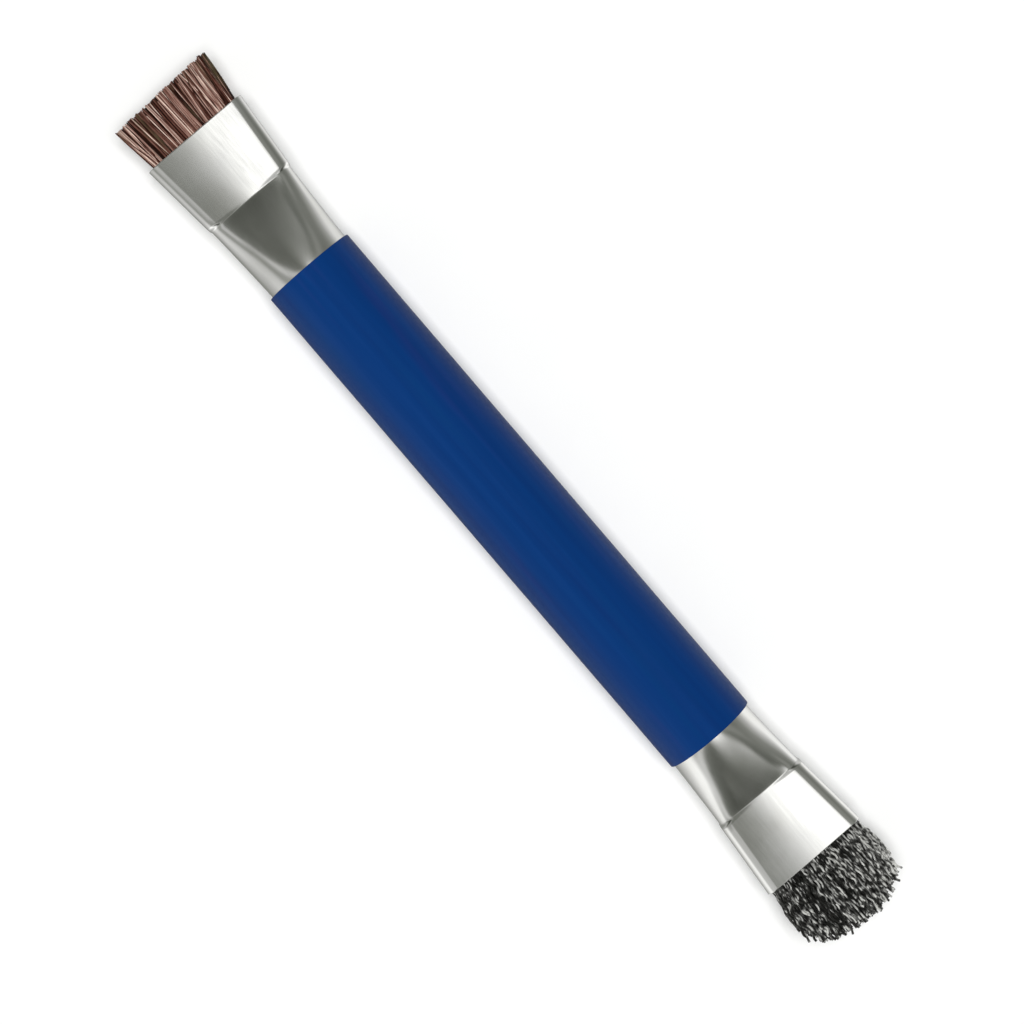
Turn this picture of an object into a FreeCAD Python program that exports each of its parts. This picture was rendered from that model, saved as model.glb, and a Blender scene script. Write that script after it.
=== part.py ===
"""Double-ended club groove brush: a sleeved handle with a pressed metal ferrule and a tuft at each end.

The handle is a turned wooden core under a thin vinyl sleeve. Each ferrule starts as a round tube
nailed over a spigot of the core, is pressed down through a curved neck and ends in a flat, flared jaw
that grips the tuft. The jaw's broad sides are slightly crowned, as a pressed tube's are. Inside, a
board wad stops the resin that sets the roots of the bristles, and a wooden spacer stiffens the middle
of the pack. One tuft is straight natural fibre with a square-cut tip, the other is crimped steel wire
with a domed tip. Nothing on the brush moves.

Frame: millimetres, +X along the brush towards the wire tuft, +Y across the flats of the jaws, +Z up.
The origin is on the surface that the brush lies on, under the middle of its overall length.
Each end is modelled outwards along +X from the sleeve's cut end, and then turned and set in place.
"""
import FreeCAD
import Part
import math
import os

# Handle
SLEEVE_DIAMETER = 16.0
SLEEVE_WALL = 0.5
SLEEVE_LENGTH = 98.0
SPIGOT_LENGTH = 11.0
SPIGOT_CHAMFER = 0.6

# Ferrules, pressed from one size of tube
FERRULE_WALL = 0.5
SHANK_LENGTH = 14.0          # the round part, hidden under the sleeve
JAW_LENGTH = 13.6
CREASE_WIDTH = 16.6          # where the neck meets the jaw
CREASE_THICKNESS = 8.5
MOUTH_WIDTH = 19.0
MOUTH_THICKNESS = 6.2
CORNER_RADIUS = 2.0
JAW_CROWN = 0.25             # how far the middle of a broad side stands above its corners
FIBRE_NECK = 14.0            # from the sleeve's end to the crease
WIRE_NECK = 12.0
NECK_WIDTH = 16.2            # the neck's own section at the crease, rounder than the jaw's
NECK_CORNER_RADIUS = 2.6
NECK_CROWN = 0.3
SHOULDER_LENGTH = 0.5        # over which the neck's corners turn into the jaw's
NECK_STEPS = 5
NECK_POWER = 1.2             # over 1, so that the neck leaves the round tube gently

# Inside the ferrules
WAD_THICKNESS = 2.0
RESIN_SHORT_OF_CREASE = 4.0
SPACER_WIDTH = 11.0
SPACER_THICKNESS = 2.0
SPACER_LENGTH = 14.0
SPACER_IN_RESIN = 3.0

# Brads that hold the shanks on the core, one on each side
BRAD_DIAMETER = 1.2
BRAD_LENGTH = 5.5
BRAD_POINT = 1.2
BRAD_HEAD_DIAMETER = 2.4
BRAD_HEAD_THICKNESS = 0.35
BRAD_STATION = -8.0          # under the sleeve

# Tufts, measured outside the mouths
FIBRE_LENGTH = 8.9
FIBRE_TIP_WIDTH = 19.1
FIBRE_TIP_THICKNESS = 6.8
WIRE_LENGTH = 13.8
WIRE_WIDTH = 19.5
WIRE_THICKNESS = 8.2
WIRE_FLARE_LENGTH = 5.0      # where the flare ends and the dome begins
DOME_STEPS = 7
DOME_POWER = 2.4             # 2 would be an ellipse
DOME_FLAT = 0.94             # share of the dome's length at which it is cut off flat
TUFT_CORNER = 0.3            # a tuft's corner radius, as a share of its thickness
TUFT_CROWN = 0.05            # its crown, the same way

TUBE_DIAMETER = SLEEVE_DIAMETER - 2 * SLEEVE_WALL
BORE_DIAMETER = TUBE_DIAMETER - 2 * FERRULE_WALL
AXIS_HEIGHT = SLEEVE_DIAMETER / 2
SPIGOT_END = -SHANK_LENGTH + SPIGOT_LENGTH
FIBRE_REACH = FIBRE_NECK + JAW_LENGTH + FIBRE_LENGTH
WIRE_REACH = WIRE_NECK + JAW_LENGTH + WIRE_LENGTH
OVERALL_LENGTH = FIBRE_REACH + SLEEVE_LENGTH + WIRE_REACH
FIBRE_SLEEVE_END = -OVERALL_LENGTH / 2 + FIBRE_REACH
WIRE_SLEEVE_END = OVERALL_LENGTH / 2 - WIRE_REACH
ALONG = FreeCAD.Vector(1, 0, 0)
UP = FreeCAD.Vector(0, 0, 1)
STRAIGHT = 1e-6              # an edge that bulges less is a line


def cylinder(diameter, start, end):
    """A cylinder on the X axis between two stations."""
    return Part.makeCylinder(diameter / 2, end - start, FreeCAD.Vector(start, 0, 0), ALONG)


def block(start, end, width, thickness):
    """A box on the X axis between two stations."""
    corner = FreeCAD.Vector(start, -width / 2, -thickness / 2)
    return Part.makeBox(end - start, width, thickness, corner)


def polar(centre, radius, angle):
    """The (y, z) of a point of a circle; angle 0 is +Y and a quarter turn is +Z."""
    return centre[0] + radius * math.cos(angle), centre[1] + radius * math.sin(angle)


def arc_ends(centre, radius, start, turn):
    """The start and the middle of an arc that turns clockwise."""
    return [polar(centre, radius, start), polar(centre, radius, start - turn / 2)]


def crowned_side(width, radius, crown):
    """A broad side that runs smoothly into its corners: its half width, bow radius and half turn."""
    reach = width / 2 - radius
    bow = (reach ** 2 + crown ** 2) / (2 * crown)
    return reach, bow, math.asin(reach / bow)


def flat_shape(width, thickness, radius, crown):
    """A rounded rectangle with crowned broad sides, as the starts and middles of its eight edges.

    Clockwise from the top: broad side, corner, narrow side, corner, and the same again below.
    """
    reach, bow, lean = crowned_side(width, radius, crown)
    height = thickness / 2 - radius - crown
    corner = math.pi / 2 - lean
    points = []
    for side in (1, -1):
        base = math.pi / 2 * (1 - side)
        broad_centre = (0, side * (thickness / 2 - radius - bow))
        points += arc_ends(broad_centre, radius + bow, base + math.pi / 2 + lean, 2 * lean)
        points += arc_ends((side * reach, side * height), radius, base + corner, corner)
        points += [(side * width / 2, side * height), (side * width / 2, 0)]
        points += arc_ends((side * reach, -side * height), radius, base, corner)
    return points


def round_shape(diameter, width, thickness, radius, crown):
    """A circle whose eight arcs are in proportion to the edges of the flat shape it is pressed to."""
    bow, lean = crowned_side(width, radius, crown)[1:]
    corner = radius * (math.pi / 2 - lean)
    lengths = [2 * lean * (radius + bow), corner, thickness - 2 * radius - 2 * crown, corner] * 2
    angle = math.pi / 2 + math.pi * lengths[0] / sum(lengths)
    points = []
    for length in lengths:
        turn = 2 * math.pi * length / sum(lengths)
        points += arc_ends((0, 0), diameter / 2, angle, turn)
        angle -= turn
    return points


def between(first, last, share):
    """The shape at a share of the way from one shape to another."""
    return [(y0 + (y1 - y0) * share, z0 + (z1 - z0) * share) for (y0, z0), (y1, z1) in zip(first, last)]


def edge(start, middle, end):
    if middle.distanceToPoint((start + end) / 2) < STRAIGHT:
        return Part.LineSegment(start, end).toShape()
    return Part.Arc(start, middle, end).toShape()


def section(station, shape):
    """A shape as a wire across the X axis."""
    points = [FreeCAD.Vector(station, y, z) for y, z in shape]
    ends = points[2::2] + points[:1]
    return Part.Wire([edge(*three) for three in zip(points[::2], points[1::2], ends)])


def loft(sections):
    """A solid with straight walls from each (station, shape) to the next."""
    return Part.makeLoft([section(*each) for each in sections], True, True)


def jaw_shape(share, inset):
    """The jaw's section at a share of the way from the crease to the mouth."""
    width = CREASE_WIDTH + (MOUTH_WIDTH - CREASE_WIDTH) * share
    thickness = CREASE_THICKNESS + (MOUTH_THICKNESS - CREASE_THICKNESS) * share
    return flat_shape(width - 2 * inset, thickness - 2 * inset, CORNER_RADIUS - inset, JAW_CROWN)


def pressed_tube(neck, inset):
    """The body of a ferrule with its walls moved in by inset, from the shank's end to the mouth."""
    corner = NECK_CORNER_RADIUS - inset
    crease = (NECK_WIDTH - 2 * inset, CREASE_THICKNESS - 2 * inset, corner, NECK_CROWN)
    tube = round_shape(TUBE_DIAMETER - 2 * inset, *crease)
    sections = [(-SHANK_LENGTH, tube)]
    for step in range(NECK_STEPS + 1):
        share = step / NECK_STEPS
        sections.append((neck * share, between(tube, flat_shape(*crease), share ** NECK_POWER)))
    sections.append((neck + SHOULDER_LENGTH, jaw_shape(SHOULDER_LENGTH / JAW_LENGTH, inset)))
    sections.append((neck + JAW_LENGTH, jaw_shape(1, inset)))
    return loft(sections)


def cavity(neck, start, end):
    """The inside of a ferrule between two stations."""
    return pressed_tube(neck, FERRULE_WALL).common(block(start, end, 2 * MOUTH_WIDTH, 2 * TUBE_DIAMETER))


def brad(side):
    """A brad driven in from +Y or -Y, its head sunk flush with the shank."""
    inwards = FreeCAD.Vector(0, -side, 0)
    surface = FreeCAD.Vector(BRAD_STATION, side * TUBE_DIAMETER / 2, 0)
    shank_end = surface + inwards * (BRAD_LENGTH - BRAD_POINT)
    head = Part.makeCylinder(BRAD_HEAD_DIAMETER / 2, BRAD_HEAD_THICKNESS, surface, inwards)
    shank = Part.makeCylinder(BRAD_DIAMETER / 2, BRAD_LENGTH - BRAD_POINT, surface, inwards)
    tip = Part.makeCone(BRAD_DIAMETER / 2, 0, BRAD_POINT, shank_end, inwards)
    whole = head.fuse([shank, tip]).removeSplitter()
    return whole.common(cylinder(TUBE_DIAMETER, -SHANK_LENGTH, 0))


def brads():
    return Part.makeCompound([brad(side) for side in (1, -1)])


def ferrule(neck):
    return pressed_tube(neck, 0).cut(pressed_tube(neck, FERRULE_WALL)).cut(brads())


def wad():
    return cylinder(BORE_DIAMETER, SPIGOT_END, SPIGOT_END + WAD_THICKNESS)


def resin_face(neck):
    return neck - RESIN_SHORT_OF_CREASE


def spacer(neck):
    start = resin_face(neck) - SPACER_IN_RESIN
    return block(start, start + SPACER_LENGTH, SPACER_WIDTH, SPACER_THICKNESS)


def resin(neck):
    return cavity(neck, SPIGOT_END + WAD_THICKNESS, resin_face(neck)).cut(spacer(neck))


def tuft_shape(width, thickness):
    return flat_shape(width, thickness, TUFT_CORNER * thickness, TUFT_CROWN * thickness)


def fibre_brush(mouth):
    """The fibres outside the mouth: they fan out to a square-cut tip."""
    return loft([
        (mouth, tuft_shape(MOUTH_WIDTH - 2 * FERRULE_WALL, MOUTH_THICKNESS - 2 * FERRULE_WALL)),
        (mouth + FIBRE_LENGTH, tuft_shape(FIBRE_TIP_WIDTH, FIBRE_TIP_THICKNESS)),
    ])


def wire_brush(mouth):
    """The wires outside the mouth: they flare out and end in a dome."""
    sections = [
        (mouth, tuft_shape(MOUTH_WIDTH - 2 * FERRULE_WALL, MOUTH_THICKNESS - 2 * FERRULE_WALL)),
        (mouth + WIRE_FLARE_LENGTH, tuft_shape(WIRE_WIDTH, WIRE_THICKNESS)),
    ]
    dome_length = (WIRE_LENGTH - WIRE_FLARE_LENGTH) / DOME_FLAT
    for step in range(1, DOME_STEPS + 1):
        rise = DOME_FLAT * math.sin(math.pi / 2 * step / DOME_STEPS)
        share = (1 - rise ** DOME_POWER) ** (1 / DOME_POWER)
        station = mouth + WIRE_FLARE_LENGTH + dome_length * rise
        sections.append((station, tuft_shape(WIRE_WIDTH * share, WIRE_THICKNESS * share)))
    return loft(sections)


def tuft(neck, brush):
    """A whole tuft, from the resin that holds its roots to its tip, packed round the spacer."""
    root = cavity(neck, resin_face(neck), neck + JAW_LENGTH)
    return root.fuse(brush(neck + JAW_LENGTH)).cut(spacer(neck))


def at_wire_end(shape):
    placed = shape.copy()
    placed.translate(FreeCAD.Vector(WIRE_SLEEVE_END, 0, AXIS_HEIGHT))
    return placed


def at_fibre_end(shape):
    placed = shape.copy()
    placed.rotate(FreeCAD.Vector(0, 0, 0), UP, 180)
    placed.translate(FreeCAD.Vector(FIBRE_SLEEVE_END, 0, AXIS_HEIGHT))
    return placed


def spigot():
    """A spigot of the core, with its free end chamfered."""
    whole = cylinder(BORE_DIAMETER, -SHANK_LENGTH, SPIGOT_END - SPIGOT_CHAMFER)
    point = Part.makeCone(BORE_DIAMETER / 2, BORE_DIAMETER / 2 - SPIGOT_CHAMFER, SPIGOT_CHAMFER,
                          FreeCAD.Vector(SPIGOT_END - SPIGOT_CHAMFER, 0, 0), ALONG)
    return whole.fuse(point).cut(brads())


def handle_core():
    """The dowel between the ferrules' shanks, with a spigot at each end."""
    middle = cylinder(TUBE_DIAMETER, FIBRE_SLEEVE_END + SHANK_LENGTH, WIRE_SLEEVE_END - SHANK_LENGTH)
    middle.translate(UP * AXIS_HEIGHT)
    return middle.fuse([at_fibre_end(spigot()), at_wire_end(spigot())]).removeSplitter()


def grip_sleeve():
    """The vinyl tube over the core and both shanks, cut square at both ends."""
    outside = cylinder(SLEEVE_DIAMETER, FIBRE_SLEEVE_END, WIRE_SLEEVE_END)
    sleeve = outside.cut(cylinder(TUBE_DIAMETER, FIBRE_SLEEVE_END, WIRE_SLEEVE_END))
    sleeve.translate(UP * AXIS_HEIGHT)
    return sleeve


def build():
    """Every node of the brush by name."""
    nodes = {"handle_core": handle_core(), "grip_sleeve": grip_sleeve()}
    ends = [
        ("fibre", FIBRE_NECK, fibre_brush, at_fibre_end),
        ("wire", WIRE_NECK, wire_brush, at_wire_end),
    ]
    for name, neck, brush, place in ends:
        nodes[name + "_ferrule"] = place(ferrule(neck))
        nodes[name + "_ferrule_brads"] = place(brads())
        nodes[name + "_backing_wad"] = place(wad())
        nodes[name + "_resin_set"] = place(resin(neck))
        nodes[name + "_spacer"] = place(spacer(neck))
        nodes[name + "_tuft"] = place(tuft(neck, brush))
    return nodes


def main():
    os.makedirs("parts", exist_ok=True)
    for name, shape in build().items():
        shape.exportStep(f"parts/{name}.step")
        print(f"{name}: {len(shape.Solids)} solid(s), {shape.Volume:.1f} mm3, valid {shape.isValid()}")


main()
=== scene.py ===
"""Double-ended club groove brush on a pale floor: ferrules, vinyl sleeve, bristles and crimped wires.

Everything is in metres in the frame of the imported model: +X along the brush towards the wire tuft, +Z up.
Each end is worked out outwards from the sleeve's cut end, in millimetres, and then set in place.
"""

import math

import bpy
import numpy as np
from mathutils import Matrix, Vector


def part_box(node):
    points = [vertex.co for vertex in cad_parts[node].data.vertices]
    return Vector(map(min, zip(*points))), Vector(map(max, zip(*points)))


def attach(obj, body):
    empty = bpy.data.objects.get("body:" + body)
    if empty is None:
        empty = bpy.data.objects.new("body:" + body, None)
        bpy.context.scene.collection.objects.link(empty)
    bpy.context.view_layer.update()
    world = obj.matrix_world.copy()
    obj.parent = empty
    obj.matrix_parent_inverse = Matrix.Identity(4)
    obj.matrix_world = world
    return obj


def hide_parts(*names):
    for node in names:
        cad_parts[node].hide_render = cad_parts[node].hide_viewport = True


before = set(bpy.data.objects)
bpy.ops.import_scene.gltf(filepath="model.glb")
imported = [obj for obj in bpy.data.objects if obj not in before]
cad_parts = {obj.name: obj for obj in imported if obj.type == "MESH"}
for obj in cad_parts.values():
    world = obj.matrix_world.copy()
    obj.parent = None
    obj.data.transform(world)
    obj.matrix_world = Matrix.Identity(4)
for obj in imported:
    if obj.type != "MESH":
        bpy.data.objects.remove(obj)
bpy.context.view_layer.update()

MM = 0.001
MICRON = 0.000001
SLEEVE_LOW, SLEEVE_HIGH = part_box("grip_sleeve")
SLEEVE_RADIUS = SLEEVE_HIGH.z / 2 / MM
AXIS_HEIGHT = SLEEVE_RADIUS
SEED = 20

# Ferrules, as they are pressed in the frame (mm)
FERRULE_WALL = 0.5
TUBE_RADIUS = 7.5
SHANK_LENGTH = 14.0
JAW_LENGTH = 13.6
CREASE_WIDTH, CREASE_THICKNESS = 16.6, 8.5
MOUTH_WIDTH, MOUTH_THICKNESS = 19.0, 6.2
CORNER_RADIUS = 2.0
JAW_CROWN = 0.25
NECK_WIDTH = 16.2            # the neck's own section where it meets the crease
NECK_CORNER_RADIUS = 2.6
NECK_CROWN = 0.3
SHOULDER_LENGTH = 0.5        # over which the neck's corners turn into the jaw's
NECK_POWER = 1.2             # over 1, so that the neck leaves the round tube gently
EDGE_POWER = 0.7             # how much later the edges of its broad sides leave it
NECK_OVERLAP = 0.4           # how far inside the sleeve the neck starts
CREASE_SOFTNESS = 0.12       # half the length over which the crease is rounded
SHOULDER_SOFTNESS = 0.22
RIM_RADIUS = 0.09            # rounding of both edges of the mouth
POINTS_PER_EDGE = (40, 16, 8, 16) * 2

# Sleeve (mm)
SLEEVE_POINTS = 144
SLEEVE_EDGE = 0.14           # rounding of both cut edges
SLEEVE_UNEVENNESS = 0.012    # of its outside, either way from the mean

# Bristles of both tufts (mm)
ROOT_DEPTH = 3.0             # how far they are modelled inside the mouth
BUNDLE_CORNER = 1.3
BUNDLE_JITTER = 0.3          # in pitches

# Natural fibre tuft (mm)
FIBRE_RADIUS = 0.135
FIBRE_TAPER = 0.78           # radius at the tip, as a share of the radius at the root
FIBRE_PITCH = 0.262
FIBRE_BUNDLE = (8.42, 2.48)  # half width and half thickness of the bundle in the mouth
FIBRE_FAN = (9.42, 3.3)      # the same at the tips
FIBRE_CUT_SLANT = 0.8        # how much longer the +Y side of the cut is
FIBRE_SIDES = 5
FIBRE_STEPS = 8
FIBRE_RAGGEDNESS = 0.22
SHORT_FIBRES = 0.03          # share of the fibres
STRAY_FIBRES = 0.09
STRAY_SPREAD = 0.9
LAYERS = 3                   # of fibres under each face of the tuft that are gathered into locks
LAYER_DEPTH = 0.45
LOCKS = 22                   # across each layer
LOCK_SLANT = 0.34
LOCK_PULL = (0.25, 0.60)     # how far its fibres are drawn together at the tips, as a share
LOCK_STEP = 0.16             # by which a lock may be cut shorter

# Tones of the bristles, from 0, dark, to 1, pale
TONE_SPREAD = 0.19           # of the locks, and of the fibres in a lock
PAINTED_CORE_SHADE = 0.43             # painted shade: by which the fibres in the tuft's faces are paler than those in its core
PAINTED_SHADE_DEPTH = 0.9             # half thickness of that core (mm), which has the full painted shade
PALE_FIBRES = 0.15           # share of the fibres
PALE_TONE = 0.38             # by which they are paler
SIDE_PAINTED_LIGHT = 0.25             # painted light: by which the wires are paler at +Y than in the middle
CRIMP_PAINTED_HIGHLIGHT = 0.35            # painted highlight: by which a crimp's high side is paler than its middle

# Crimped wire tuft (mm)
WIRE_RADIUS = 0.19
WIRE_SIDES = 6
WIRE_PITCH = 0.48
WIRE_BUNDLE = (8.75, 2.4)
WIRE_MARGIN = 0.1            # kept free for the lean of the outer wires
WIRE_FLARE_LENGTH = 5.0
WIRE_LEAN = (0.32, 0.22)     # across and up, over the length of the flare
WIRE_RAGGEDNESS = 0.7
CRIMP_LENGTH = 2.2
CRIMP_HEIGHT = 0.2
STEPS_PER_CRIMP = 8
DOME_POWER = 2.4
DOME_RIM = 0.12              # lowest part of the dome, as a share of its height

# Studio (m), and the camera (mm, degrees)
FLOOR_SIZE = 4.0
FLOOR_CELLS = 8
PANEL_STRENGTH = 1.4
FILL_HEIGHT = 1.4
FILL_SIZE = 0.55
FILL_POWER = 17.5
CAMERA_PLACE = (-23.15, 0.0, 560.5)
CAMERA_AIM = (0.02, -0.84, 8.0)
CAMERA_TURN = 49.365         # of the picture's horizontal from +X towards +Y
FIELD_OF_VIEW = 16.77


# ---------------------------------------------------------------- ends

class End:
    """One end of the brush: which way it points and how long its parts are, in millimetres."""

    def __init__(self, name, sleeve_end, direction):
        low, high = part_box(name + "_ferrule")
        tuft_low, tuft_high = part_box(name + "_tuft")
        mouth, tip = (low.x, tuft_low.x) if direction < 0 else (high.x, tuft_high.x)
        self.name = name
        self.sleeve_end = sleeve_end / MM
        self.direction = direction
        self.mouth = abs(mouth - sleeve_end) / MM
        self.reach = abs(tip - mouth) / MM
        self.neck = self.mouth - JAW_LENGTH
        self.half_width = tuft_high.y / MM
        self.half_thickness = tuft_high.z / MM - AXIS_HEIGHT

    def place(self, points):
        """Points (out, across, up) of this end as metres in the frame."""
        out, across, up = points[..., 0], points[..., 1], points[..., 2]
        x = self.sleeve_end + self.direction * out
        return np.stack([x, self.direction * across, up + AXIS_HEIGHT], axis=-1) * MM


FIBRE_END = End("fibre", SLEEVE_LOW.x, -1)
WIRE_END = End("wire", SLEEVE_HIGH.x, 1)


# ---------------------------------------------------------------- meshes

def new_piece(name, mesh, material, slot, *replaced):
    """A piece of the brush that rides with it, with the named CAD nodes hidden in its place."""
    piece = bpy.data.objects.new(name, mesh)
    bpy.context.scene.collection.objects.link(piece)
    mesh.materials.append(material)
    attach(piece, "root")
    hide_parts(*replaced)
    return piece


def mesh_of(name, points, faces):
    """A smooth-shaded mesh."""
    mesh = bpy.data.meshes.new(name)
    mesh.from_pydata(points.reshape(-1, 3).tolist(), [], faces)
    mesh.polygons.foreach_set("use_smooth", [True] * len(mesh.polygons))
    mesh.update()
    return mesh


def ring_faces(rings, around, closed):
    """Quads between rings of points; closed joins the last ring to the first."""
    faces = []
    for ring in range(rings if closed else rings - 1):
        here, there = ring * around, (ring + 1) % rings * around
        for k in range(around):
            after = (k + 1) % around
            faces.append((here + k, here + after, there + after, there + k))
    return faces


# ---------------------------------------------------------------- ferrules

def arc(centre, radius, start, turn, count):
    """The points of an arc that turns clockwise, without its end."""
    angles = start - turn * np.arange(count) / count
    return np.stack([centre[0] + radius * np.cos(angles), centre[1] + radius * np.sin(angles)], axis=-1)


def crowned_side(width, radius, crown):
    """A broad side that runs smoothly into its corners: its half width, bow radius and half turn."""
    reach = width / 2 - radius
    bow = (reach ** 2 + crown ** 2) / (2 * crown)
    return reach, bow, math.asin(reach / bow)


def flat_ring(width, thickness, radius, crown):
    """A rounded rectangle with crowned broad sides, clockwise from the start of the top one."""
    reach, bow, lean = crowned_side(width, radius, crown)
    height = thickness / 2 - radius - crown
    corner = math.pi / 2 - lean
    broad, bend, narrow = POINTS_PER_EDGE[:3]
    edges = []
    for side in (1, -1):
        base = math.pi / 2 * (1 - side)
        centre = (0, side * (thickness / 2 - radius - bow))
        edges.append(arc(centre, radius + bow, base + math.pi / 2 + lean, 2 * lean, broad))
        edges.append(arc((side * reach, side * height), radius, base + corner, corner, bend))
        heights = side * height * (1 - 2 * np.arange(narrow) / narrow)
        edges.append(np.stack([np.full(narrow, side * width / 2), heights], axis=-1))
        edges.append(arc((side * reach, -side * height), radius, base, corner, bend))
    return np.concatenate(edges)


def round_ring(tube_radius, width, thickness, radius, crown):
    """A circle whose eight arcs are in proportion to the edges of the flat ring it is pressed to."""
    _, bow, lean = crowned_side(width, radius, crown)
    corner = radius * (math.pi / 2 - lean)
    lengths = [2 * lean * (radius + bow), corner, thickness - 2 * radius - 2 * crown, corner] * 2
    angle = math.pi / 2 + math.pi * lengths[0] / sum(lengths)
    edges = []
    for length, count in zip(lengths, POINTS_PER_EDGE):
        turn = 2 * math.pi * length / sum(lengths)
        edges.append(arc((0, 0), tube_radius, angle, turn, count))
        angle -= turn
    return np.concatenate(edges)


def jaw_ring(share, inset):
    """A ring of the jaw at a share of its length from the crease to the mouth."""
    width = CREASE_WIDTH + (MOUTH_WIDTH - CREASE_WIDTH) * share
    thickness = CREASE_THICKNESS + (MOUTH_THICKNESS - CREASE_THICKNESS) * share
    return flat_ring(width - 2 * inset, thickness - 2 * inset, CORNER_RADIUS - inset, JAW_CROWN)


def neck_powers(tube):
    """How late each point leaves the round tube, so that a broad side slopes alike up to its edges."""
    slant = 2 * tube[:, 0] * tube[:, 1] / (tube ** 2).sum(axis=1)
    return NECK_POWER + EDGE_POWER * slant ** 4


def sharp_wall(neck, out, inset):
    """The ring of a ferrule's wall at a distance out from the sleeve, with the crease still sharp."""
    width, thickness = NECK_WIDTH - 2 * inset, CREASE_THICKNESS - 2 * inset
    crease = flat_ring(width, thickness, NECK_CORNER_RADIUS - inset, NECK_CROWN)
    if out <= neck:
        tube = round_ring(TUBE_RADIUS - inset, width, thickness, NECK_CORNER_RADIUS - inset, NECK_CROWN)
        share = (max(out + NECK_OVERLAP, 0) / (neck + NECK_OVERLAP)) ** neck_powers(tube)
        return tube + (crease - tube) * share[:, None]
    if out >= neck + SHOULDER_LENGTH:
        return jaw_ring((out - neck) / JAW_LENGTH, inset)
    shoulder = jaw_ring(SHOULDER_LENGTH / JAW_LENGTH, inset)
    return crease + (shoulder - crease) * (out - neck) / SHOULDER_LENGTH


def wall(neck, out, inset):
    """The ring of a ferrule's wall, with the crease and the shoulder's end rounded."""
    for bend, softness in ((neck, CREASE_SOFTNESS), (neck + SHOULDER_LENGTH, SHOULDER_SOFTNESS)):
        if abs(out - bend) < softness:
            shifts = np.linspace(-softness, softness, 9)
            return np.mean([sharp_wall(neck, out + shift, inset) for shift in shifts], axis=0)
    return sharp_wall(neck, out, inset)


def ferrule_stations(end):
    """(out, inset) of every ring: the outer wall, the rounded rim of the mouth, and the inner wall back."""
    rim = RIM_RADIUS
    start, stop = end.neck - CREASE_SOFTNESS, end.neck + CREASE_SOFTNESS
    shoulder_end = end.neck + SHOULDER_LENGTH + SHOULDER_SOFTNESS
    closer_at_sleeve = np.linspace(0, 1, 44, endpoint=False) ** 1.8
    outs = np.concatenate([
        np.linspace(-SHANK_LENGTH, 0, 8, endpoint=False),
        start * closer_at_sleeve,
        np.linspace(start, stop, 8, endpoint=False),
        np.linspace(stop, shoulder_end, 16, endpoint=False),
        np.linspace(shoulder_end, end.mouth - 2 * rim, 12),
    ])
    outer = [(out, 0.0) for out in outs]
    turns = np.linspace(0, math.pi / 2, 5)
    lip = [(end.mouth - rim * (1 - math.sin(t)), rim * (1 - math.cos(t))) for t in turns]
    lip += [(out, FERRULE_WALL - inset) for out, inset in reversed(lip)]
    inner = [(out, FERRULE_WALL) for out in reversed(outs)]
    return outer + lip + inner


def build_ferrule(end, material):
    """A tube with a round shank, a neck pressed flat towards a crease, and a flat jaw that flares."""
    rings = []
    for out, inset in ferrule_stations(end):
        ring = wall(end.neck, out, inset)
        rings.append(np.column_stack([np.full(len(ring), out), ring]))
    name = end.name + "_ferrule_shell"
    mesh = mesh_of(name, end.place(np.array(rings)), ring_faces(len(rings), len(rings[0]), True))
    return new_piece(name, mesh, material, "ferrule_aluminium", end.name + "_ferrule")


# ---------------------------------------------------------------- sleeve

def sleeve_profile():
    """(x, radius) along the outside, over both rounded cut edges, and back along the bore."""
    edge = SLEEVE_EDGE
    low, high = SLEEVE_LOW.x / MM, SLEEVE_HIGH.x / MM
    turns = np.linspace(0, math.pi / 2, 6)
    left = [(low + edge * (1 - math.sin(t)), SLEEVE_RADIUS - edge * (1 - math.cos(t))) for t in turns[::-1]]
    right = [(high - edge * (1 - math.sin(t)), SLEEVE_RADIUS - edge * (1 - math.cos(t))) for t in turns]
    middle = [(x, SLEEVE_RADIUS) for x in np.linspace(low, high, 120)[1:-1]]
    bore = [(x, TUBE_RADIUS) for x in np.linspace(high, low, 12)]
    return left + middle + right + bore


def build_sleeve(material):
    """The vinyl tube, with softly rounded cut ends and the slight unevenness of a drawn-on tube."""
    angles = 2 * math.pi * np.arange(SLEEVE_POINTS) / SLEEVE_POINTS
    twist_length, ripple_length = 9.0, 5.3
    rings = []
    for x, radius in sleeve_profile():
        sag = SLEEVE_UNEVENNESS * (1 + np.sin(3 * angles + x / twist_length) * np.cos(x / ripple_length))
        ring_radius = radius - (sag if radius > TUBE_RADIUS else 0)
        y = ring_radius * np.cos(angles)
        z = ring_radius * np.sin(angles) + AXIS_HEIGHT
        rings.append(np.column_stack([np.full(SLEEVE_POINTS, x), y, z]))
    points = np.array(rings) * MM
    mesh = mesh_of("grip_sleeve_vinyl", points, ring_faces(len(rings), SLEEVE_POINTS, True))
    return new_piece("grip_sleeve_vinyl", mesh, material, "grip_vinyl", "grip_sleeve")


# ---------------------------------------------------------------- bristles

def bundle_places(rng, pitch, half_width, half_thickness):
    """Jittered places (across, up) for bristles inside a rounded rectangle."""
    corner = BUNDLE_CORNER
    across = np.arange(-half_width, half_width + pitch, pitch)
    up = np.arange(-half_thickness, half_thickness + pitch, pitch * 0.9)
    y, z = np.meshgrid(across, up)
    y = y + (np.arange(len(up)) % 2)[:, None] * pitch / 2
    y = y + rng.uniform(-BUNDLE_JITTER, BUNDLE_JITTER, y.shape) * pitch
    z = z + rng.uniform(-BUNDLE_JITTER, BUNDLE_JITTER, z.shape) * pitch
    past = np.clip(np.abs(y) - (half_width - corner), 0, corner)
    top = half_thickness - corner + np.sqrt(corner ** 2 - past ** 2)
    inside = (np.abs(y) < half_width) & (np.abs(z) < top)
    return y[inside], z[inside]


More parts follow.
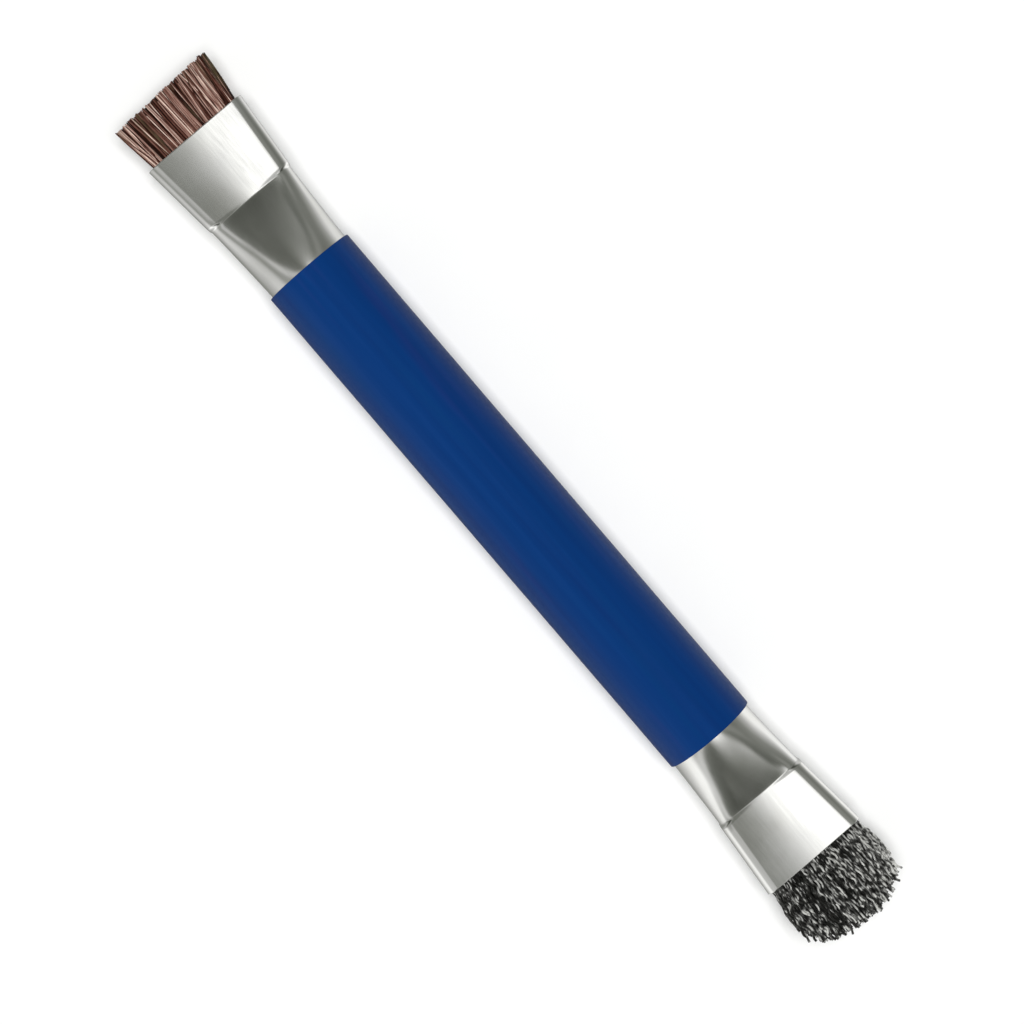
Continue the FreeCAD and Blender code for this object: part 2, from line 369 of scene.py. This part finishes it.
def bristle_mesh(end, name, paths, radii, sides, tone):
    """A mesh of round bristles with flat ends.

    paths is (bristle, step, 3), and radii and tone are (bristle, step).
    """
    count, steps, _ = paths.shape
    along = np.gradient(paths, axis=1)
    along /= np.linalg.norm(along, axis=2, keepdims=True)
    side = np.cross(along, (0.0, 0.0, 1.0))
    side /= np.linalg.norm(side, axis=2, keepdims=True)
    up = np.cross(side, along)
    angles = 2 * math.pi * np.arange(sides) / sides
    circle = np.cos(angles)[:, None] * side[:, :, None, :] + np.sin(angles)[:, None] * up[:, :, None, :]
    points = paths[:, :, None, :] + radii[:, :, None, None] * circle
    size = steps * sides
    first = size * np.arange(count)[:, None]
    walls = np.array(ring_faces(steps, sides, False))[None] + first[:, :, None]
    cap = np.arange(sides)
    roots = cap[::-1][None] + first
    tips = (cap + size - sides)[None] + first
    faces = walls.reshape(-1, 4).tolist() + roots.tolist() + tips.tolist()
    mesh = mesh_of(name, end.place(points), faces)
    attribute = mesh.attributes.new("tone", "FLOAT", "POINT")
    attribute.data.foreach_set("value", np.repeat(tone, sides, axis=1).ravel().astype(np.float32))
    return mesh


# ---------------------------------------------------------------- natural fibre tuft

def fibre_locks(rng, y, z):
    """For each fibre, its lock's middle across the mouth, slant, pull, shortness and tone."""
    half_width, half_thickness = FIBRE_BUNDLE
    depth = half_thickness - np.abs(z)
    layer = np.clip(depth / LAYER_DEPTH, 0, LAYERS - 1).astype(int) + LAYERS * (z > 0)
    layer_shift = rng.uniform(0, 1, 2 * LAYERS)
    place = (y + half_width) / (2 * half_width) * LOCKS + layer_shift[layer] + rng.normal(0, 0.10, len(y))
    lock = np.clip(place.astype(int), 0, LOCKS) + (LOCKS + 1) * layer
    locks = 2 * LAYERS * (LOCKS + 1)
    share = (np.arange(locks) % (LOCKS + 1) + 0.5 - np.repeat(layer_shift, LOCKS + 1)) / LOCKS
    middle = (2 * share - 1) * half_width
    slant = rng.normal(0, LOCK_SLANT, locks)
    pull = rng.uniform(*LOCK_PULL, locks)
    short = rng.uniform(0, LOCK_STEP, locks)
    tone = rng.normal(0, TONE_SPREAD, locks)
    return middle[lock], slant[lock], pull[lock], short[lock], tone[lock]


def fibre_tips(rng, y, z, outer, middle, slant, pull):
    """Where the tips are: fanned out, the outer ones drawn to their locks, and a few astray."""
    count = len(y)
    fan_y, fan_z = FIBRE_FAN[0] / FIBRE_BUNDLE[0], FIBRE_FAN[1] / FIBRE_BUNDLE[1]
    pull = np.where(outer, pull * rng.uniform(0.6, 1.3, count), 0)
    tip_y = y * fan_y + pull * (middle * fan_y - y * fan_y) + np.where(outer, slant, 0)
    tip_y = tip_y + rng.normal(0, 0.10, count)
    stray = rng.random(count) < STRAY_FIBRES
    tip_y = np.where(stray, tip_y + rng.normal(0, STRAY_SPREAD, count), tip_y)
    limit = FIBRE_END.half_width - FIBRE_RADIUS
    tip_z = z * fan_z + rng.normal(0, 0.06, count)
    return np.clip(tip_y, -limit, limit), np.clip(tip_z, -FIBRE_FAN[1], FIBRE_FAN[1])


def fibre_lengths(rng, tip_y, outer, short):
    """Free lengths for a slightly slanted, ragged cut with a few short fibres."""
    count = len(tip_y)
    limit = FIBRE_END.half_width - FIBRE_RADIUS
    world_y = tip_y * FIBRE_END.direction
    length = FIBRE_END.reach - FIBRE_CUT_SLANT * (limit - world_y) / (2 * limit)
    length = length - np.where(outer, short, 0.1) - rng.uniform(0, FIBRE_RAGGEDNESS, count)
    return length - np.where(rng.random(count) < SHORT_FIBRES, rng.uniform(0.3, 1.6, count), 0)


def fibre_tones(rng, z, outer, lock_tone):
    """A tone for each fibre: darker in the core as painted shade and paler towards the tuft's faces, with a
    few pale fibres throughout.
    """
    # painted shade: the deeper a fibre lies in the tuft, the darker its tone
    depth = np.clip((np.abs(z) - PAINTED_SHADE_DEPTH) / (FIBRE_BUNDLE[1] - PAINTED_SHADE_DEPTH), 0, 1)
    tone = PAINTED_CORE_SHADE * depth + np.where(outer, lock_tone, 0) + rng.normal(0, TONE_SPREAD, len(z))
    tone = np.where(rng.random(len(z)) < PALE_FIBRES, tone + PALE_TONE, tone)
    return np.clip(tone, 0, 1)


def fibre_paths(rng, y, z, tip_y, tip_z, length):
    """Slightly bowed fibres from inside the mouth to their tips."""
    share = np.linspace(0, 1, FIBRE_STEPS)[None]
    out = FIBRE_END.mouth - ROOT_DEPTH + share * (ROOT_DEPTH + length[:, None])
    spread = np.clip((out - FIBRE_END.mouth) / length[:, None], 0, 1)
    bow = np.sin(math.pi * spread)
    across = y[:, None] + (tip_y - y)[:, None] * spread + rng.normal(0, 0.07, len(y))[:, None] * bow
    height = z[:, None] + (tip_z - z)[:, None] * spread ** 1.1 + rng.normal(0, 0.05, len(y))[:, None] * bow
    return np.stack([out, across, height], axis=-1)


def build_fibre_tuft(material):
    """Outer fibres gathered into locks with gaps between them, round an even core darkened with painted
    shade.
    """
    rng = np.random.default_rng(SEED)
    y, z = bundle_places(rng, FIBRE_PITCH, *FIBRE_BUNDLE)
    outer = np.abs(z) > FIBRE_BUNDLE[1] - LAYERS * LAYER_DEPTH
    middle, slant, pull, short, lock_tone = fibre_locks(rng, y, z)
    tip_y, tip_z = fibre_tips(rng, y, z, outer, middle, slant, pull)
    length = fibre_lengths(rng, tip_y, outer, short)
    tone = fibre_tones(rng, z, outer, lock_tone)
    paths = fibre_paths(rng, y, z, tip_y, tip_z, length)
    taper = np.linspace(1.0, FIBRE_TAPER, FIBRE_STEPS)[None]
    radii = FIBRE_RADIUS * rng.uniform(0.8, 1.1, len(y))[:, None] * taper
    tone = np.broadcast_to(tone[:, None], radii.shape)
    parts = {
        "fibre_tuft_core": ~outer,
        "fibre_tuft_top": outer & (z > 0),
        "fibre_tuft_bottom": outer & (z <= 0),
    }
    for name, chosen in parts.items():
        mesh = bristle_mesh(FIBRE_END, name, paths[chosen], radii[chosen], FIBRE_SIDES, tone[chosen])
        new_piece(name, mesh, material, "natural_fibre", "fibre_tuft")


# ---------------------------------------------------------------- crimped wire tuft

def wire_lengths(rng, y, z):
    """Free lengths of the wires, cut to a ragged dome."""
    edge = np.clip(np.maximum(np.abs(y) / WIRE_BUNDLE[0], np.abs(z) / WIRE_BUNDLE[1]), 0, 0.999)
    rise = (1 - edge ** DOME_POWER) ** (1 / DOME_POWER)
    dome_length = WIRE_END.reach - WIRE_FLARE_LENGTH
    dome = dome_length * np.clip(rise, DOME_RIM, 1.0)
    return WIRE_FLARE_LENGTH + dome - rng.uniform(0, WIRE_RAGGEDNESS, len(y))


def wire_paths(rng, y, z, length):
    """Crimped wires that flare and lean out of the mouth, and the height of each step on its crimp."""
    count = len(y)
    steps = int((ROOT_DEPTH + WIRE_END.reach) / CRIMP_LENGTH * STEPS_PER_CRIMP) + 1
    share = np.linspace(0, 1, steps)[None]
    out = WIRE_END.mouth - ROOT_DEPTH + share * (ROOT_DEPTH + length[:, None])
    free = np.clip((out - WIRE_END.mouth) / WIRE_FLARE_LENGTH, 0, None)
    flare = np.minimum(free, 1.0)
    limit_y = WIRE_END.half_width - WIRE_RADIUS
    limit_z = WIRE_END.half_thickness - WIRE_RADIUS
    spread_y = (limit_y - WIRE_MARGIN) / WIRE_BUNDLE[0]
    spread_z = (limit_z - WIRE_MARGIN) / WIRE_BUNDLE[1]
    lean_y = rng.normal(0, WIRE_LEAN[0], count)[:, None] * free
    lean_z = rng.normal(0, WIRE_LEAN[1], count)[:, None] * free
    phase = rng.uniform(0, 2 * math.pi, count)[:, None]
    wave = 2 * math.pi * (out - WIRE_END.mouth) / (CRIMP_LENGTH * rng.uniform(0.85, 1.2, count)[:, None])
    plane = rng.uniform(0, math.pi, count)[:, None]
    crimp = CRIMP_HEIGHT * rng.uniform(0.7, 1.15, count)[:, None] * np.clip(free * 2.5 + 0.35, 0, 1)
    crimp_height = np.sin(wave + phase)
    across = y[:, None] * (1 + (spread_y - 1) * flare) + lean_y + crimp * crimp_height * np.cos(plane)
    height = z[:, None] * (1 + (spread_z - 1) * flare) + lean_z + crimp * crimp_height * np.sin(plane)
    paths = np.stack([out, np.clip(across, -limit_y, limit_y), np.clip(height, -limit_z, limit_z)], axis=-1)
    return paths, crimp_height


def build_wire_tuft(material):
    """Crimped wires that flare out of the mouth to a dome, with a painted highlight on the high side of
    each crimp and painted light towards +Y.
    """
    rng = np.random.default_rng(SEED + 1)
    y, z = bundle_places(rng, WIRE_PITCH, *WIRE_BUNDLE)
    length = wire_lengths(rng, y, z)
    paths, crimp_height = wire_paths(rng, y, z, length)
    radii = np.full(paths.shape[:2], WIRE_RADIUS) * rng.uniform(0.85, 1.1, len(y))[:, None]
    # a random tone for each wire, plus painted light towards +Y and a painted highlight on each crimp's
    # high side
    tone = rng.uniform(0, 1, len(y)) + SIDE_PAINTED_LIGHT * y / WIRE_BUNDLE[0]
    tone = np.clip(tone[:, None] + CRIMP_PAINTED_HIGHLIGHT * crimp_height, 0, 1)
    for name, chosen in (("wire_tuft_upper", z > 0), ("wire_tuft_lower", z <= 0)):
        mesh = bristle_mesh(WIRE_END, name, paths[chosen], radii[chosen], WIRE_SIDES, tone[chosen])
        new_piece(name, mesh, material, "crimped_wire", "wire_tuft")


# ---------------------------------------------------------------- nodes

def add_node(tree, kind, inputs=(), **settings):
    """A node with its inputs given as numbers, colours or sockets to link."""
    node = tree.nodes.new(kind)
    for key, value in settings.items():
        setattr(node, key, value)
    for key, value in dict(inputs).items():
        if isinstance(value, bpy.types.NodeSocket):
            tree.links.new(value, node.inputs[key])
        else:
            node.inputs[key].default_value = value
    return node


def new_material(name, **constants):
    """A material with a Principled shader: its tree, its shader and its object coordinates."""
    material = bpy.data.materials.new(name)
    material.use_nodes = True
    tree = material.node_tree
    shader = tree.nodes["Principled BSDF"]
    for socket, value in constants.items():
        shader.inputs[socket.replace("_", " ")].default_value = value
    coordinates = add_node(tree, "ShaderNodeTexCoord").outputs["Object"]
    return material, tree, shader, coordinates


def noise(tree, coordinates, stretch, detail=4.0, roughness=0.55):
    """Noise whose cells are 1 / stretch metres long on each axis."""
    mapping = {"Vector": coordinates, "Scale": stretch}
    mapped = add_node(tree, "ShaderNodeMapping", mapping).outputs["Vector"]
    inputs = {"Vector": mapped, "Scale": 1.0, "Detail": detail, "Roughness": roughness}
    return add_node(tree, "ShaderNodeTexNoise", inputs).outputs["Fac"]


def ramp(tree, factor, *stops):
    """A colour ramp through (position, colour) stops."""
    node = add_node(tree, "ShaderNodeValToRGB", {"Fac": factor})
    elements = node.color_ramp.elements
    while len(elements) < len(stops):
        elements.new(1.0)
    for element, (position, colour) in zip(elements, stops):
        element.position = position
        element.color = (*colour, 1.0)
    return node.outputs["Color"]


def span(tree, value, from_low, from_high, to_low, to_high, smooth=False):
    """A value moved from one range to another, and held inside it."""
    kind = "SMOOTHSTEP" if smooth else "LINEAR"
    inputs = {"Value": value, "From Min": from_low, "From Max": from_high}
    inputs.update({"To Min": to_low, "To Max": to_high})
    return add_node(tree, "ShaderNodeMapRange", inputs, interpolation_type=kind).outputs["Result"]


def maths(tree, operation, first, second=0.0):
    """The result of one step of arithmetic on numbers or sockets."""
    return add_node(tree, "ShaderNodeMath", {0: first, 1: second}, operation=operation).outputs["Value"]


def blend_colours(tree, factor, first, second):
    """A colour socket mixed with a plain colour by a factor socket."""
    node = add_node(tree, "ShaderNodeMix", data_type="RGBA")
    first_colour, second_colour, mixed_colour = node.inputs[6], node.inputs[7], node.outputs[2]
    tree.links.new(factor, node.inputs["Factor"])
    tree.links.new(first, first_colour)
    second_colour.default_value = (*second, 1.0)
    return mixed_colour


def bump(tree, shader, height, microns, strength):
    """Relief of a real depth."""
    inputs = {"Height": height, "Distance": microns * MICRON, "Strength": strength}
    tree.links.new(add_node(tree, "ShaderNodeBump", inputs).outputs["Normal"], shader.inputs["Normal"])


# ---------------------------------------------------------------- materials

def aluminium():
    """Bright drawn tube: faint lengthwise draw lines, soft smudges and fine scratches."""
    material, tree, shader, place = new_material("bright_drawn_aluminium", Metallic=1.0)
    lines = noise(tree, place, (25, 2600, 2600), detail=3.0)
    smudge = noise(tree, place, (120, 160, 160), detail=5.0)
    scratch = noise(tree, place, (900, 5000, 5000), detail=2.0)
    colour = ramp(tree, smudge, (0.3, (0.80, 0.80, 0.775)), (0.7, (0.88, 0.88, 0.87)))
    tree.links.new(colour, shader.inputs["Base Color"])
    both = maths(tree, "ADD", maths(tree, "MULTIPLY", lines, 0.4), maths(tree, "MULTIPLY", smudge, 0.6))
    tree.links.new(span(tree, both, 0.3, 0.7, 0.10, 0.20), shader.inputs["Roughness"])
    relief = maths(tree, "ADD", lines, maths(tree, "MULTIPLY", scratch, 0.2))
    bump(tree, shader, relief, 1, 0.2)
    return material


def vinyl():
    """Satin blue vinyl with faint lengthwise streaks of teal and violet and a fine skin texture."""
    material, tree, shader, place = new_material("satin_blue_vinyl", Specular_IOR_Level=0.14)
    streak = noise(tree, place, (14, 420, 420), detail=4.0)
    tint = noise(tree, place, (22, 260, 260), detail=2.0)
    skin = noise(tree, place, (1500, 1700, 1700), detail=3.0)
    base = ramp(tree, streak, (0.30, (0.001, 0.027, 0.140)), (0.55, (0.001, 0.033, 0.160)),
                (0.75, (0.004, 0.040, 0.180)))
    violet = blend_colours(tree, span(tree, tint, 0.56, 0.72, 0.0, 0.45), base, (0.018, 0.028, 0.155))
    teal = blend_colours(tree, span(tree, tint, 0.44, 0.30, 0.0, 0.40), violet, (0.000, 0.038, 0.155))
    tree.links.new(teal, shader.inputs["Base Color"])
    tree.links.new(span(tree, skin, 0.3, 0.7, 0.40, 0.54), shader.inputs["Roughness"])
    bump(tree, shader, maths(tree, "ADD", skin, maths(tree, "MULTIPLY", streak, 1.5)), 20, 0.5)
    return material


def natural_fibre():
    """Stiff bristle from dark brown to pinkish tan, a tone for each fibre and streaks along it."""
    material, tree, shader, place = new_material("natural_bristle", Specular_IOR_Level=0.22)
    # the tone attribute holds each fibre's own tone and the painted shade of the tuft's core
    tone = add_node(tree, "ShaderNodeAttribute", attribute_name="tone").outputs["Fac"]
    streak = noise(tree, place, (260, 3000, 3000), detail=3.0)
    patch = noise(tree, place, (90, 700, 700))
    shade = maths(tree, "ADD", tone, span(tree, streak, 0.3, 0.7, -0.14, 0.14))
    colour = ramp(tree, shade, (0.02, (0.014, 0.004, 0.002)), (0.25, (0.060, 0.018, 0.011)),
                  (0.50, (0.200, 0.092, 0.070)), (0.75, (0.420, 0.260, 0.215)), (1.0, (0.78, 0.60, 0.51)))
    olive = blend_colours(tree, span(tree, patch, 0.55, 0.72, 0.0, 0.55), colour, (0.17, 0.14, 0.075))
    tree.links.new(olive, shader.inputs["Base Color"])
    tree.links.new(span(tree, streak, 0.3, 0.7, 0.36, 0.55), shader.inputs["Roughness"])
    bump(tree, shader, streak, 20, 0.5)
    return material


def crimped_wire():
    """Oil-blackened spring steel, paler in random patches, with the painted light and painted highlights
    that its tone attribute carries.
    """
    material, tree, shader, place = new_material("crimped_steel_wire", Metallic=0.55)
    # the tone attribute holds a random tone for each wire plus painted light towards +Y and painted
    # highlights on the crimps
    tone = add_node(tree, "ShaderNodeAttribute", attribute_name="tone").outputs["Fac"]
    patch = noise(tree, place, (600, 1500, 1500), detail=2.0)
    shade = maths(tree, "ADD", patch, span(tree, tone, 0.0, 1.0, -0.14, 0.14))
    colour = ramp(tree, shade, (0.42, (0.022, 0.022, 0.020)), (0.54, (0.12, 0.12, 0.115)),
                  (0.66, (0.85, 0.85, 0.82)))
    tree.links.new(colour, shader.inputs["Base Color"])
    tree.links.new(span(tree, patch, 0.35, 0.60, 0.42, 0.18), shader.inputs["Roughness"])
    bump(tree, shader, patch, 20, 0.6)
    return material


def wood(name, light, dark):
    """Turned or sawn softwood with grain along the brush."""
    material, tree, shader, place = new_material(name)
    grain = noise(tree, place, (18, 650, 650), detail=5.0)
    pores = noise(tree, place, (220, 5200, 5200), detail=2.0)
    colour = ramp(tree, grain, (0.32, dark), (0.68, light))
    tree.links.new(colour, shader.inputs["Base Color"])
    tree.links.new(span(tree, grain, 0.3, 0.7, 0.75, 0.58), shader.inputs["Roughness"])
    bump(tree, shader, maths(tree, "ADD", grain, pores), 60, 0.6)
    return material


def board():
    """Pressed grey-brown board with loose fibres."""
    material, tree, shader, place = new_material("pressed_board")
    fibres = noise(tree, place, (900, 900, 900), detail=8.0, roughness=0.7)
    colour = ramp(tree, fibres, (0.35, (0.24, 0.17, 0.10)), (0.65, (0.46, 0.36, 0.25)))
    tree.links.new(colour, shader.inputs["Base Color"])
    tree.links.new(span(tree, fibres, 0.3, 0.7, 0.95, 0.80), shader.inputs["Roughness"])
    bump(tree, shader, fibres, 100, 0.7)
    return material


def resin():
    """Amber setting resin, cloudy and unevenly glossy."""
    material, tree, shader, place = new_material("amber_resin", Coat_Weight=0.4)
    cloud = noise(tree, place, (350, 350, 350), detail=5.0)
    colour = ramp(tree, cloud, (0.3, (0.26, 0.10, 0.02)), (0.7, (0.52, 0.27, 0.07)))
    tree.links.new(colour, shader.inputs["Base Color"])
    tree.links.new(span(tree, cloud, 0.3, 0.7, 0.16, 0.34), shader.inputs["Roughness"])
    bump(tree, shader, cloud, 50, 0.5)
    return material


def brad_steel():
    """Bright wire brads with grip marks round their shanks."""
    material, tree, shader, place = new_material("bright_brad_steel", Metallic=1.0)
    marks = noise(tree, place, (4000, 900, 4000), detail=3.0)
    colour = ramp(tree, marks, (0.3, (0.42, 0.42, 0.43)), (0.7, (0.60, 0.60, 0.61)))
    tree.links.new(colour, shader.inputs["Base Color"])
    tree.links.new(span(tree, marks, 0.3, 0.7, 0.40, 0.25), shader.inputs["Roughness"])
    bump(tree, shader, marks, 20, 0.6)
    return material


def floor_paint():
    """Matt white studio floor with a barely visible tooth, faintly lit up to a clean white."""
    white = (1.0, 1.0, 1.0, 1.0)
    material, tree, shader, place = new_material("studio_floor", Roughness=0.9, Specular_IOR_Level=0.1,
                                                 Emission_Color=white, Emission_Strength=0.04)
    tooth = noise(tree, place, (60, 60, 60), detail=6.0)
    colour = ramp(tree, tooth, (0.2, (0.88, 0.88, 0.88)), (0.8, (0.90, 0.90, 0.90)))
    tree.links.new(colour, shader.inputs["Base Color"])
    bump(tree, shader, tooth, 50, 0.1)
    return material


def dress_inner_nodes():
    """Materials for the CAD nodes that stay: everything under the sleeve and inside the ferrules."""
    finishes = {
        "handle_core": wood("turned_softwood", (0.60, 0.41, 0.23), (0.44, 0.27, 0.13)),
        "backing_wad": board(),
        "resin_set": resin(),
        "spacer": wood("sawn_softwood", (0.56, 0.39, 0.22), (0.38, 0.24, 0.12)),
        "ferrule_brads": brad_steel(),
    }
    for name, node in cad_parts.items():
        for part, finish in finishes.items():
            if name.endswith(part):
                node.data.materials.clear()
                node.data.materials.append(finish)


# ---------------------------------------------------------------- studio

def profile(tree, angle, *stops):
    """A strength that follows an angle in degrees through (angle, strength) stops."""
    share = span(tree, angle, -180.0, 180.0, 0.0, 1.0)
    greys = [((degrees + 180) / 360, (strength, strength, strength)) for degrees, strength in stops]
    return ramp(tree, share, *greys)


def ceiling_panels(tree, lean_x, lean_y):
    """Two bright panels, one where each jaw mirrors it, which fade towards -Y."""
    along = profile(tree, lean_x, (-19, 0), (-17.3, 0.08), (-15.9, 1), (-11, 1), (-8, 0.3),
                    (11, 0.3), (14.5, 1), (20, 1), (23, 0.2), (26, 0))
    across = profile(tree, lean_y, (-70, 0), (-50, 0.32), (-22, 0.30), (-12, 0.07), (-8, 0.05), (-5, 0.12),
                     (-2.5, 0.22), (-0.5, 0.38), (0.8, 0.88), (2, 1), (10, 1), (13, 0.4), (19, 0.08),
                     (45, 0.08), (62, 0.03), (80, 0))
    return maths(tree, "MULTIPLY", maths(tree, "MULTIPLY", along, across), PANEL_STRENGTH)


def neck_glow(tree, lean_x, lean_y):
    """A soft glow beyond each panel, which the necks mirror near the sleeve."""
    along = profile(tree, lean_x, (-34, 0), (-30, 0.05), (-25, 0.10), (-21, 0.24), (-17, 0.24), (-14, 0),
                    (21, 0), (24, 0.95), (27, 0.9), (31, 0.5), (35, 0.26), (40, 0.08), (46, 0))
    across = profile(tree, lean_y, (-15, 0), (0, 0.8), (9, 1), (19, 0.8), (27, 0.15), (33, 0))
    return maths(tree, "MULTIPLY", along, across)


def side_walls(tree, lean_x, lean_y):
    """Pale walls on both sides, dimmer at the fibre end, where the one at -Y also stands further off."""
    set_back = span(tree, lean_x, -12.0, 4.0, 6.0, 0.0, True)
    low = profile(tree, maths(tree, "ADD", lean_y, set_back), (-180, 0.2), (-147, 0.25), (-117, 0.65),
                  (-98, 1), (-80, 1), (-64, 0.36), (-50, 0.08), (-40, 0))
    high = profile(tree, lean_y, (60, 0), (79, 0.10), (96, 0.38), (114, 1), (130, 1), (147, 0.75),
                   (180, 0.2))
    low_wall = maths(tree, "MULTIPLY", low, span(tree, lean_x, -12.0, 16.0, 0.36, 1.0, True))
    high_wall = maths(tree, "MULTIPLY", high, span(tree, lean_x, -12.0, 16.0, 0.52, 1.0, True))
    return maths(tree, "ADD", low_wall, high_wall)


def light_studio():
    """The studio round the brush as its metal mirrors it, by how far a direction leans from straight up.

    lean_x is the lean towards +X and lean_y the turn about the brush towards +Y, both in degrees.
    """
    world = bpy.data.worlds.new("studio")
    bpy.context.scene.world = world
    world.use_nodes = True
    tree = world.node_tree
    background = tree.nodes["Background"]
    direction = add_node(tree, "ShaderNodeTexCoord").outputs["Generated"]
    x, y, z = add_node(tree, "ShaderNodeSeparateXYZ", {"Vector": direction}).outputs
    degrees = 180 / math.pi
    lean_x = maths(tree, "MULTIPLY", maths(tree, "ARCSINE", x), degrees)
    lean_y = maths(tree, "MULTIPLY", maths(tree, "ARCTAN2", y, z), degrees)
    ceiling = profile(tree, lean_x, (-38, 0.07), (-22, 0.15), (26, 0.15), (44, 0.06))
    end_walls = span(tree, maths(tree, "ABSOLUTE", lean_x), 58.0, 75.0, 0.0, 0.6, True)
    total = ceiling_panels(tree, lean_x, lean_y)
    for part in (neck_glow(tree, lean_x, lean_y), side_walls(tree, lean_x, lean_y), end_walls, ceiling):
        total = maths(tree, "ADD", total, part)
    olive_when_dim = ramp(tree, total, (0.0, (0.95, 1.0, 0.86)), (0.5, (1.0, 1.0, 0.985)))
    tree.links.new(olive_when_dim, background.inputs["Color"])
    tree.links.new(total, background.inputs["Strength"])


def add_overhead_fill():
    """A soft panel that lights the floor and the brush but isn't seen in the metal."""
    light = bpy.data.lights.new("overhead_fill", "AREA")
    light.shape = "SQUARE"
    light.size = FILL_SIZE
    light.energy = FILL_POWER
    panel = bpy.data.objects.new("overhead_fill", light)
    panel.location = (0.0, 0.0, FILL_HEIGHT)
    panel.visible_glossy = False
    panel.visible_camera = False
    bpy.context.scene.collection.objects.link(panel)


def build_floor():
    """The floor that the brush lies on. Its metal mirrors the studio's lower half instead."""
    side = np.linspace(-FLOOR_SIZE / 2, FLOOR_SIZE / 2, FLOOR_CELLS + 1)
    x, y = np.meshgrid(side, side)
    points = np.stack([x, y, np.zeros_like(x)], axis=-1)
    row = FLOOR_CELLS + 1
    faces = [(j * row + i, j * row + i + 1, (j + 1) * row + i + 1, (j + 1) * row + i)
             for j in range(FLOOR_CELLS) for i in range(FLOOR_CELLS)]
    mesh = mesh_of("studio_floor", points, faces)
    mesh.materials.append(floor_paint())
    floor = bpy.data.objects.new("studio_floor", mesh)
    bpy.context.scene.collection.objects.link(floor)
    floor.visible_glossy = False


def build_camera():
    """A long lens from above, a little towards the fibre end, turned so that the brush lies diagonally."""
    location = Vector(CAMERA_PLACE) * MM
    back = (location - Vector(CAMERA_AIM) * MM).normalized()
    turn = math.radians(CAMERA_TURN)
    right = Vector((math.cos(turn), math.sin(turn), 0.0))
    right = (right - back * right.dot(back)).normalized()
    up = back.cross(right)
    data = bpy.data.cameras.new("camera")
    data.angle = math.radians(FIELD_OF_VIEW)
    data.clip_start = 0.01
    camera = bpy.data.objects.new("camera", data)
    camera.matrix_world = Matrix.Translation(location) @ Matrix((right, up, back)).transposed().to_4x4()
    bpy.context.scene.collection.objects.link(camera)
    bpy.context.scene.camera = camera


# ---------------------------------------------------------------- scene

metal = aluminium()
build_ferrule(FIBRE_END, metal)
build_ferrule(WIRE_END, metal)
build_sleeve(vinyl())
build_fibre_tuft(natural_fibre())
build_wire_tuft(crimped_wire())
dress_inner_nodes()
build_floor()
light_studio()
add_overhead_fill()
build_camera()
bpy.context.scene.view_settings.view_transform = "Standard"
